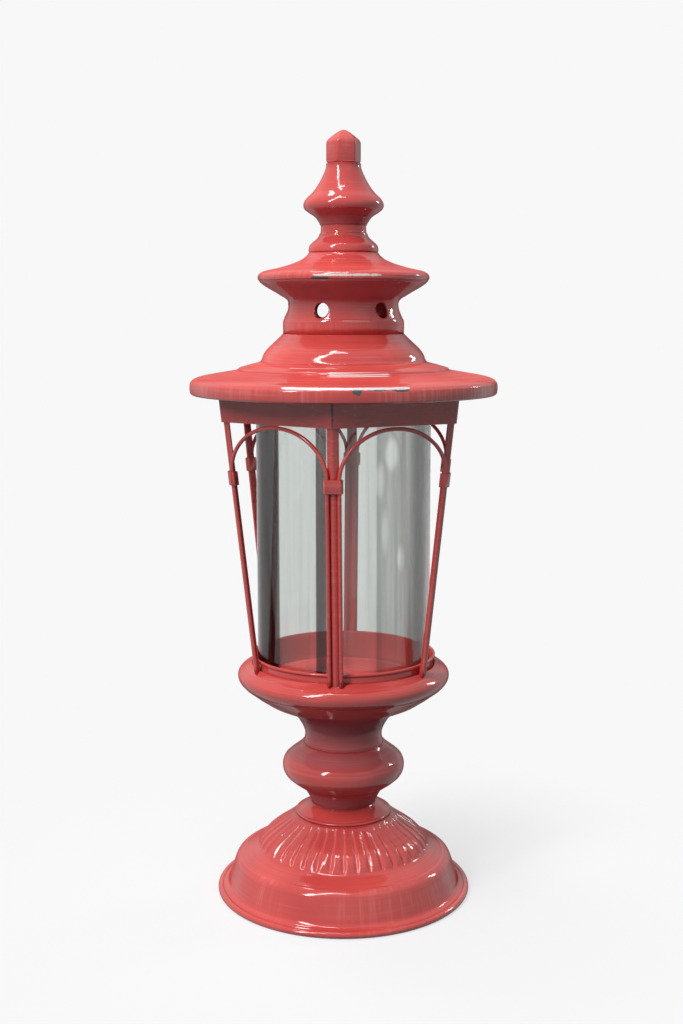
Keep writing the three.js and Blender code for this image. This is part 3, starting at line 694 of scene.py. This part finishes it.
# Six-sided frame. Corner 0 is at the front, and the corners follow each other to the right.
corners = ["front", "front_right", "back_right", "back", "back_left", "front_left"]
arches = {0: "front_right", 2: "back_right", 3: "back_left", 5: "front_left"}
frameLook = {
    "footRadius": 71.8,          # from the axis to a post's outer edge, where the saucer ends
    "footHeight": 176.3,
    "postBottom": 174.5,
    "postEdge": 0.3,
    "flange": 4.7,
    "fold": 0.9,                 # rounding of the fold
    "wire": 1.4,
    "wireAlong": 3.8,
    "wireFoot": 174.9,
    "wireSteps": 24,
    "legHandle": 40,
    "roundHandle": 0.5523,       # handle length that makes a Bezier quarter round
    "strapEdge": 0.3,
    "strapFlat": 2,              # degrees below which neighbouring faces join
    "strapSharp": 15,
}
bandLow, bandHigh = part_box("hex_band")
postLow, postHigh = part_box("post_front")
postTop = postHigh.z / mm
lean = (-postLow.y / mm - frameLook["footRadius"]) / (postTop - frameLook["footHeight"])
sixth = math.radians(60)


def cornerRadius(height):
    return frameLook["footRadius"] + lean * (height - frameLook["footHeight"])


def heading(corner):
    return corner * sixth - math.pi / 2


# Turns a shape drawn with its corner along +X to one of the six corners.
def toCorner(bm, corner):
    bmesh.ops.rotate(
        bm, cent=(0, 0, 0), matrix=Matrix.Rotation(heading(corner), 3, "Z"), verts=bm.verts)


def makePost(corner, name):
    look = frameLook
    bm = bmesh.new()
    start = cornerRadius(look["postBottom"])
    leaf = look["flange"]
    half = leaf * math.cos(sixth / 2)
    spots = [(start - leaf / 2, half), (start, 0), (start - leaf / 2, -half)]
    verts = [bm.verts.new((x * mm, y * mm, look["postBottom"] * mm)) for x, y in spots]
    for pair in zip(verts, verts[1:]):
        bm.edges.new(pair)
    bevel(bm, [verts[1]], look["fold"], 4, "VERTICES")
    top = onlyVerts(bmesh.ops.extrude_edge_only(bm, edges=bm.edges[:])["geom"])
    rise = postTop - look["postBottom"]
    bmesh.ops.translate(bm, vec=(lean * rise * mm, 0, rise * mm), verts=top)
    toCorner(bm, corner)
    bmesh.ops.recalc_face_normals(bm, faces=bm.faces)
    outward = Vector((math.cos(heading(corner)), math.sin(heading(corner)), 0))
    if sum(face.normal.dot(outward) for face in bm.faces) < 0:
        bmesh.ops.reverse_faces(bm, faces=bm.faces)
    return soften(thicken(newPiece("post." + name, bm), sheet), look["postEdge"])


# A place on the side after a corner: across from its middle, at a height and out from the leaves.
def onSide(corner, across, height, out):
    middle = cornerRadius(height) * math.cos(sixth / 2) + out
    turn = heading(corner) + sixth / 2
    x = middle * math.cos(turn) - across * math.sin(turn)
    y = middle * math.sin(turn) + across * math.cos(turn)
    return Vector((x, y, height)) * mm


# A wire hoop: two straight legs, which follow the posts, and a rounded head.
def makeArch(corner, name):
    look = frameLook

    def half(height):
        return cornerRadius(height) / 2 - look["wireAlong"]

    base = look["wireFoot"]
    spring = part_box("strap_front")[1].z / mm
    crown = bandLow.z / mm - packedGap - look["wire"]
    out = packedGap + look["wire"]
    rise = (crown - spring) * look["roundHandle"]
    run = half(spring) * look["roundHandle"]
    leg = look["legHandle"]
    slip = lean / 2 * leg
    third = ((half(spring) - half(base)) / 3, (spring - base) / 3)
    # (across, height, offset of the handle before, offset of the handle after)
    knots = [
        (-half(base), base, (-third[0], third[1]), (-third[0], third[1])),
        (-half(spring), spring, (slip, -leg), (0, rise)),
        (0, crown, (-run, 0), (run, 0)),
        (half(spring), spring, (0, rise), (-slip, -leg)),
        (half(base), base, third, third)]
    curve = bpy.data.curves.new("arch", "CURVE")
    curve.dimensions = "3D"
    curve.resolution_u = look["wireSteps"]
    curve.bevel_depth = look["wire"] * mm
    curve.bevel_resolution = 5
    curve.use_fill_caps = True
    spline = curve.splines.new("BEZIER")
    spline.bezier_points.add(len(knots) - 1)
    for knot, (across, height, before, after) in zip(spline.bezier_points, knots):
        knot.handle_left_type = knot.handle_right_type = "FREE"
        knot.co = onSide(corner, across, height, out)
        knot.handle_left = onSide(corner, across + before[0], height + before[1], out)
        knot.handle_right = onSide(corner, across + after[0], height + after[1], out)
    bm = meshFromCurve(curve)
    bmesh.ops.remove_doubles(bm, verts=bm.verts, dist=weld)
    bmesh.ops.recalc_face_normals(bm, faces=bm.faces)
    return newPiece("arch." + name, bm)


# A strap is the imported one, merged and with soft edges.
def makeStrap(name):
    look = frameLook
    bm = bmesh.new()
    bm.from_mesh(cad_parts["strap_" + name].data)
    bmesh.ops.remove_doubles(bm, verts=bm.verts, dist=weld)
    bmesh.ops.dissolve_limit(
        bm, angle_limit=math.radians(look["strapFlat"]), verts=bm.verts, edges=bm.edges)
    return soften(newPiece("strap." + name, bm), look["strapEdge"], 2, look["strapSharp"])


# The frame's crease ring is painted shade and dirt at the posts' feet, where they meet the saucer.
frameEnamel = enamel("frameEnamel", creases=[(71.5, 175, 4)])
for corner, name in enumerate(corners):
    place(makePost(corner, name), "stand", red, frameEnamel, "post_" + name)
    place(makeStrap(name), "stand", red, frameEnamel, "strap_" + name)
for corner, name in arches.items():
    place(makeArch(corner, name), "stand", red, frameEnamel, "arch_wire_" + name)

band = {"hole": 80.4, "holeSteps": 48, "cuts": 7, "corner": 1.2, "cornerSharp": 40, "edge": 0.5}


def makeBand(look):
    lowRadius = (cornerRadius(bandLow.z / mm) + (sheet + packedGap) / math.cos(sixth / 2)) * mm
    highRadius = -bandLow.y
    bm = bmesh.new()
    bmesh.ops.create_circle(bm, segments=6, radius=lowRadius, matrix=Matrix.Translation((0, 0, bandLow.z)))
    bmesh.ops.subdivide_edges(bm, edges=bm.edges, cuts=look["cuts"])
    top = onlyVerts(bmesh.ops.extrude_edge_only(bm, edges=bm.edges[:])["geom"])
    bmesh.ops.translate(bm, vec=(0, 0, bandHigh.z - bandLow.z), verts=top)
    grow = highRadius / lowRadius
    bmesh.ops.scale(bm, vec=(grow, grow, 1), verts=top)
    rimEdges = [edge for edge in bm.edges if all(vert in top for vert in edge.verts)]
    hole = bmesh.ops.create_circle(
        bm, segments=look["holeSteps"], radius=look["hole"] * mm,
        matrix=Matrix.Translation((0, 0, bandHigh.z)))["verts"]
    holeEdges = [edge for edge in bm.edges if all(vert in hole for vert in edge.verts)]
    bmesh.ops.bridge_loops(bm, edges=rimEdges + holeEdges)
    bmesh.ops.recalc_face_normals(bm, faces=bm.faces)
    upright = [edge for edge in bm.edges if len(edge.link_faces) == 2
               and edge.calc_face_angle(0) > math.radians(look["cornerSharp"])
               and abs((edge.verts[0].co - edge.verts[1].co).normalized().z) > 0.5]
    bevel(bm, upright, look["corner"], 4)
    outer = [face for face in bm.faces if abs(face.normal.z) < 0.5]
    if sum(face.normal.dot(face.calc_center_median()) for face in outer) < 0:
        bmesh.ops.reverse_faces(bm, faces=bm.faces)
    return soften(thicken(newPiece("band", bm), sheet), look["edge"], 3, look["cornerSharp"])


# The band's crease ring is painted shadow from the brim over its top; its chip is a worn front corner that
# also stands in for the corner's grey reflection.
place(makeBand(band), "stand", red, enamel(
    "bandEnamel", chips=[(0, -96.5, 365, 5.5, 0.35, 5)], creases=[(92, 389, 13)]), "hex_band")
print("frame done")

# Glass: a plain open cylinder with fire-rounded rims. The spare points near the rims keep the long
# walls' shading straight.
glass = {
    "outline": [(61, 0, 0.9), (63.5, 0, 0.9), (63.5, 3, 0), (63.5, 200, 0), (63.5, 203, 1.1),
                (61, 203, 1.1), (61, 200, 0), (61, 3, 0)],
    "straight": (2, 201), "steps": 160,
}


def makeGlass(look):
    bm = drawOutline(look["outline"], True, 6, look["straight"])
    turnOutline(bm, look["steps"])
    fitToNode(bm, "glass_cylinder")
    piece = newPiece("glass.cylinder", bm)
    piece.visible_shadow = False     # clear glass lets the lamps' light through to the pan
    return piece


place(makeGlass(glass), "glass", "clear_glass", oldGlass("oldGlass"), "glass_cylinder")
print("glass done")

# Roof stack, from the brim to the finial
# In the roof's marks, lines are painted highlights, shades are painted shade, creases take dirt and painted
# shade.
roof = {
    "roof_shell": {
        "outline": [(109.6, 0, 0.3), (110.6, 0.8), (111, 2.2), (111, 7.2), (110.7, 8.5, 0.3),
                    (109.3, 10.2, 0.3), (107, 11.4), (104, 12.4), (97, 13.8), (90, 14.9), (83, 16.1),
                    (77.6, 17.2), (76.6, 17.4, 0.2), (76.1, 18.2, 0.3), (75.4, 18.9, 0.3), (73.6, 19.4),
                    (68, 21), (62.6, 22.4), (60.4, 23.2), (59.4, 24.4), (58.7, 26), (58, 28),
                    (55.4, 31.8), (51.7, 35.5), (46.8, 40), (44.5, 42.4), (43.9, 43, 0.3), (33, 43, 0)],
        "edges": [(110.6, 383.2, 2.4), (111, 376, 2.0)], "creases": [(76.5, 392, 1.0), (60.3, 398, 1.2)],
        "streaks": [(111, 379, 6.5, 0.6)], "ridges": [(82, 390, 14, 0.10), (45, 417, 8, 0.05)],
        "lines": [(109.4, 384.4, 1.7, -38, 56, 1.02, False), (79.5, 391.4, 9, -12, 44, 0.64, True),
                  (70, 396, 8, -40, 10, 0.40, True)],
        "chips": [(17.8, -109.3, 382.2, 5.5, 1.2, 0.8), (46, -100.5, 383.2, 6, 3.2, 0.34),
                  (32, -106, 383.4, 5, 2.4, 0.28)],
        "steps": 192},
    "chimney": {
        "outline": [(43.5, 0, 0.2), (43.5, 8.6), (43.2, 9.8, 0.3), (42.6, 10.8), (41.3, 13.6),
                    (40.1, 16.6), (39.5, 19.6), (39.5, 21.4), (40.6, 23.8), (44.8, 26.6), (49.4, 29.4),
                    (54.4, 32.2), (58.4, 34.9), (60.2, 36.6), (60.6, 37.6, 0.1)],
        "edges": [(43.4, 427.6, 1.2)], "streaks": [(43.6, 422, 5, 0.3)],
        "shades": [(50, 448, 21, 0.75)], "ridges": [(40, 430, 16, 0.08)],
        "lines": [(41, 430, 13, -6, 30, 0.44, True)], "steps": 160},
    "upper_cap": {
        "outline": [(60.9, 0, 0.1), (61.4, 0.7), (61.5, 1.8), (61.4, 3, 0.3), (60.2, 4.65, 0.3),
                    (58, 5.9), (54, 7), (47.1, 8.5), (41.6, 10), (37.4, 11.3), (33.4, 12.8), (30, 14.4),
                    (27.4, 16.2), (25.6, 18), (25, 19, 0.2), (bore, 19, 0)],
        "edges": [(61, 459, 2.2)], "creases": [(25.2, 474.4, 0.9)], "streaks": [(61, 458, 5, 0.3)],
        "chips": [(-12, -60, 456.0, 5.5, 3.2, 0.36)],
        "lines": [(60.8, 457.9, 1.5, -21, 36, 0.98, False)], "steps": 160},
    "finial_spool": {
        "outline": [(bore, 0, 0), (24.4, 0, 0.2), (25, 0.8), (25, 3.2), (24.5, 4.8), (23.4, 6.2),
                    (20.3, 8.8), (18.4, 10.6), (17.5, 12, 0.2), (17.4, 12.9, 0.2), (16.6, 14),
                    (16.3, 16), (16.3, 18.6, 0.1), (bore, 18.6, 0)],
        "edges": [(25, 478, 1.3)], "creases": [(17.5, 487, 0.8)], "streaks": [(25, 477, 3, 0.3)],
        "steps": 112},
    "finial_bead": {
        "outline": [(bore, 0, 0), (16.4, 0, 0.1), (17.4, 2), (20.4, 6), (24.8, 9), (28, 11.8),
                    (28.6, 14.6), (27.4, 17.6), (22, 23.2), (18, 28.7), (15, 34.2), (12.9, 39),
                    (12.4, 41), (12.4, 43, 0.1), (bore, 43, 0)],
        "edges": [(28.6, 508, 1.6)], "creases": [(16.6, 494.5, 0.8), (12.4, 536, 0.6)],
        "streaks": [(28, 508, 5, 0.25)], "shades": [(20, 498, 13, 0.7)], "steps": 112},
}

vents = {
    "angles": [-18, 46, 118, 206, 275],
    "radius": 5.4,
    "steps": 40,
    "height": 434.16,
    "cutAt": 40,                 # from the axis to a cutter's middle
    "cutDepth": 24,
    "rimReach": 7,
    "rimSharp": 50,
    "lip": 0.5,
}


# Punches the round vents through the chimney's wall and rounds their lips.
def punchVents(piece, look):
    cutters = bmesh.new()
    for angle in look["angles"]:
        turn = Matrix.Rotation(math.radians(angle), 4, "Z")
        spread = Matrix.Translation((0, -look["cutAt"] * mm, look["height"] * mm))
        bmesh.ops.create_cone(
            cutters, cap_ends=True, segments=look["steps"], radius1=look["radius"] * mm,
            radius2=look["radius"] * mm, depth=look["cutDepth"] * mm,
            matrix=turn @ (spread @ Matrix.Rotation(math.pi / 2, 4, "X")))
    cutter = newPiece("ventCutter", cutters, False)
    cut = piece.modifiers.new("vents", "BOOLEAN")
    cut.object = cutter
    cut.operation = "DIFFERENCE"
    cut.solver = "EXACT"
    depsgraph = bpy.context.evaluated_depsgraph_get()
    solid = bpy.data.meshes.new_from_object(piece.evaluated_get(depsgraph))
    piece.modifiers.clear()
    piece.data = solid
    bpy.data.objects.remove(cutter)
    bm = bmesh.new()
    bm.from_mesh(solid)
    rims = [edge for edge in bm.edges if len(edge.link_faces) == 2
            and edge.calc_face_angle(0) > math.radians(look["rimSharp"])
            and abs(edge.verts[0].co.z - look["height"] * mm) < look["rimReach"] * mm]
    bevel(bm, rims, look["lip"], 3)
    bm.to_mesh(solid)
    bm.free()
    return piece


for node, look in roof.items():
    piece = makeShell(node, look, look["steps"])
    if node == "chimney":
        piece = punchVents(piece, vents)
    place(piece, "roof", red, markedEnamel(node, look), node)

locator = {"outline": [(78, 0, 0.3), (79.2, 0, 0.3), (79.2, 14.9, 0.3), (78, 14.9, 0.3)], "closed": True}
place(
    makeShell("locator_ring", locator), "roof", red, enamel("locatorEnamel", [(79, 375, 1.5)]),
    "locator_ring")

# Knob: six sides drawn in to a blunt point, as rings of (radius, height)
knob = {
    "radius": 12.4,
    "turn": -16,
    "edge": 1.1,
    "rings": [(11.8, 0), (12.4, 1.6), (12.4, 14.2), (11.4, 16), (8.2, 18.6), (4.4, 21.4), (1.2, 22.9)],
}


def makeKnob(look):
    bm = bmesh.new()
    radius, height = look["rings"][0]
    bmesh.ops.create_circle(bm, cap_ends=True, segments=6, radius=radius * mm)
    face = bm.faces[:][0]
    for nextRadius, nextHeight in look["rings"][1:]:
        lifted = bmesh.ops.extrude_face_region(bm, geom=[face])["geom"]
        bmesh.ops.delete(bm, geom=[face], context="FACES_ONLY")
        verts = onlyVerts(lifted)
        face = [item for item in lifted if isinstance(item, bmesh.types.BMFace)][0]
        bmesh.ops.translate(bm, vec=(0, 0, (nextHeight - height) * mm), verts=verts)
        grow = nextRadius / radius
        bmesh.ops.scale(bm, vec=(grow, grow, 1), verts=verts)
        radius, height = nextRadius, nextHeight
    bmesh.ops.holes_fill(bm, edges=bm.edges, sides=8)
    bmesh.ops.recalc_face_normals(bm, faces=bm.faces)
    turn = math.radians(look["turn"])
    bmesh.ops.rotate(bm, cent=(0, 0, 0), matrix=Matrix.Rotation(turn, 3, "Z"), verts=bm.verts)
    bevel(bm, bm.edges[:], look["edge"], 3, clamp=True)
    fitToNode(bm, "finial_knob", look["radius"])
    return newPiece("knob", bm)


place(makeKnob(knob), "roof", red, enamel(
    "knobEnamel", chips=[(8, -5, 555, 4, 0.8, 1)], streaks=[(12, 548, 9, 0.3)]), "finial_knob")
print("roof done")

# Hidden clamps: rods, nuts, washers and the bar across the bell
clamp = {
    "nutRadius": 5.8,            # to the corners
    "nutEdge": 0.4,
    "barCorner": 4,
    "barEdge": 0.35,
    "rodSteps": 40,
    "washerSteps": 48,
}
zincPlain = zinc("zincPlain")
zincThread = zinc("zincThread", True)


def makeNut(node):
    low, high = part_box(node)
    ends = (low.z, high.z)
    radius = clamp["nutRadius"] * mm
    bm = bmesh.new()
    bmesh.ops.create_cone(
        bm, cap_ends=False, segments=6, radius1=radius, radius2=radius, depth=high.z - low.z,
        matrix=Matrix.Translation((0, 0, (low.z + high.z) / 2)))
    hole = []
    for height in ends:
        hole += bmesh.ops.create_circle(
            bm, segments=6, radius=bore * mm, matrix=Matrix.Translation((0, 0, height)))["verts"]
    rims = [edge for edge in bm.edges if len(edge.link_faces) < 2]
    for height in ends:
        bmesh.ops.bridge_loops(bm, edges=[
            edge for edge in rims if all(abs(vert.co.z - height) < samePlace for vert in edge.verts)])
    bmesh.ops.bridge_loops(bm, edges=[
        edge for edge in rims if all(vert in hole for vert in edge.verts)])
    bmesh.ops.recalc_face_normals(bm, faces=bm.faces)
    return soften(pieceFor(node, bm, False), clamp["nutEdge"])


def makeTurned(node, outline, steps, closed=False):
    bm = drawOutline(outline, closed)
    turnOutline(bm, steps)
    fitToNode(bm, node)
    return pieceFor(node, bm)


def makeWasher(node):
    low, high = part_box(node)
    outer = high.x / mm
    thick = (high.z - low.z) / mm
    outline = [(bore, 0, 0.15), (outer, 0, 0.25), (outer, thick, 0.35), (bore, thick, 0.15)]
    return makeTurned(node, outline, clamp["washerSteps"], True)


# A rod with a low round head.
def makeBolt(node):
    low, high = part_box(node)
    top = (high.z - low.z) / mm
    return makeTurned(node, [
        (0, 0, 0), (2.6, 0, 0), (3, 0.5, 0), (3, top - 2.6, 0), (7.6, top - 2.6, 0.2), (8, top - 2),
        (7, top - 1), (4.6, top - 0.3), (2, top), (0, top)], clamp["rodSteps"])


def makeRod(node):
    low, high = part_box(node)
    top = (high.z - low.z) / mm
    return makeTurned(node, [
        (0, 0, 0), (2.6, 0, 0), (3, 0.5, 0), (3, top - 0.5, 0), (2.6, top, 0), (0, top, 0)],
        clamp["rodSteps"])


def makeBar(node):
    low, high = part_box(node)
    bm = bmesh.new()
    bmesh.ops.create_cube(bm, size=1, matrix=Matrix.Translation((low + high) / 2) @ Matrix.Diagonal(
        (high.x - low.x, high.y - low.y, high.z - low.z, 1)))
    upright = [edge for edge in bm.edges if abs(edge.verts[0].co.z - edge.verts[1].co.z) > 0.5 * mm]
    bevel(bm, upright, clamp["barCorner"], 6)
    return soften(newPiece("bridge.bar", bm, False), clamp["barEdge"])


for node, body, make, material in (
        ("tie_bolt", "stand", makeBolt, zincThread), ("finial_rod", "roof", makeRod, zincThread),
        ("tie_washer", "stand", makeWasher, zincPlain), ("bridge_washer", "roof", makeWasher, zincPlain),
        ("tie_nut", "stand", makeNut, zincPlain), ("bridge_nut", "roof", makeNut, zincPlain),
        ("bridge_bar", "roof", makeBar, zincPlain)):
    place(make(node), body, "zinc_steel", material, node)
print("clamps done")

# Floor and backdrop: near white to the camera, to reflections and through the glass
stage = {
    "paper": (0.938, 0.938, 0.945, 1),
    "bounce": (0.08, 0.085, 0.10, 1),
    "shadowShare": 0.45,
    "shadowReach": 320,
    "floorRadius": 30000,
    "floorDrop": 0.05,
    "worldLight": (0.15, 0.16, 0.17, 1),
}


def seenDirectly(finish):
    seen = [finish.add("ShaderNodeLightPath", output="Is " + kind + " Ray")
            for kind in ("Camera", "Glossy", "Transmission")]
    return seen[0].most(seen[1]).most(seen[2])


def makeStage(look):
    bm = bmesh.new()
    bmesh.ops.create_circle(bm, cap_ends=True, segments=64, radius=look["floorRadius"] * mm)
    bmesh.ops.translate(bm, vec=(0, 0, -look["floorDrop"] * mm), verts=bm.verts)
    floor = newPiece("floor", bm)
    finish = newFinish("paper")
    paper = finish.add("ShaderNodeEmission", {}, {"Color": look["paper"], "Strength": 1.0})
    lit = finish.add("ShaderNodeBsdfDiffuse", {}, {"Color": look["paper"]})
    bounce = finish.add("ShaderNodeBsdfDiffuse", {}, {"Color": look["bounce"]})
    near = finish.spot((0, 0, 0), look["shadowReach"])
    shown = finish.mix(near * look["shadowShare"], paper, lit)
    floor.data.materials.append(finish.close(finish.mix(seenDirectly(finish), bounce, shown)))

    world = bpy.data.worlds.new("studio")
    scene.world = world
    sky = Finish(world)
    white = sky.add("ShaderNodeBackground", {}, {"Color": look["paper"], "Strength": 1.0})
    soft = sky.add("ShaderNodeBackground", {}, {"Color": look["worldLight"], "Strength": 1.0})
    sky.close(sky.mix(seenDirectly(sky), soft, white), "ShaderNodeOutputWorld")


makeStage(stage)

# Lamps in metres: (turn from the front towards the right, height angle, distance, width, height,
# brightness)
lampAim = (0, 0, 0.28)
lamps = {
    "key": (-36, 40, 4.5, 0.58, 3.1, 27),
    "high": (-34, 72, 4.5, 0.32, 2.0, 18),
    "rim": (124, 24, 1.8, 0.12, 0.36, 38),
    "top": (-12, 76, 3.6, 1.0, 0.16, 22),
    "back": (-125, 70, 3.6, 0.8, 0.46, 22),
    "fill": (45, 38, 2.4, 1.2, 1.2, 0.35),
}


def makeLamp(name, turn, rise, distance, width, height, brightness):
    data = bpy.data.lights.new(name, "AREA")
    data.shape = "RECTANGLE"
    data.size = width
    data.size_y = height
    data.energy = brightness * math.pi * width * height
    lamp = bpy.data.objects.new(name, data)
    lamp.visible_camera = False
    across = math.radians(turn)
    up = math.radians(rise)
    away = Vector((math.sin(across) * math.cos(up), -math.cos(across) * math.cos(up), math.sin(up)))
    lamp.location = Vector(lampAim) + away * distance
    lamp.rotation_euler = away.to_track_quat("Z", "Y").to_euler()
    scene.collection.objects.link(lamp)


for name, values in lamps.items():
    makeLamp(name, *values)

# Camera: solved from the photograph's ellipses
view = {"distance": 1015.2, "height": 439, "pitch": 8.48, "turn": 4.6, "slip": -1.45, "focal": 1398.8,
        "imageHeight": 1024, "sensor": 24}


def makeCamera(look):
    data = bpy.data.cameras.new("camera")
    data.sensor_fit = "VERTICAL"
    data.sensor_height = look["sensor"]
    data.lens = look["focal"] / look["imageHeight"] * look["sensor"]
    data.clip_start = 0.05
    data.clip_end = 100
    camera = bpy.data.objects.new("camera", data)
    turn = math.radians(look["turn"])
    side = Vector((math.cos(turn), math.sin(turn), 0)) * look["slip"]
    back = Vector((math.sin(turn), -math.cos(turn), 0)) * look["distance"]
    camera.location = (back + side + Vector((0, 0, look["height"]))) * mm
    camera.rotation_euler = (math.pi / 2 - math.radians(look["pitch"]), 0, turn)
    scene.collection.objects.link(camera)
    scene.camera = camera


makeCamera(view)
scene.view_settings.view_transform = "Standard"
print("stage, lamps and camera done")
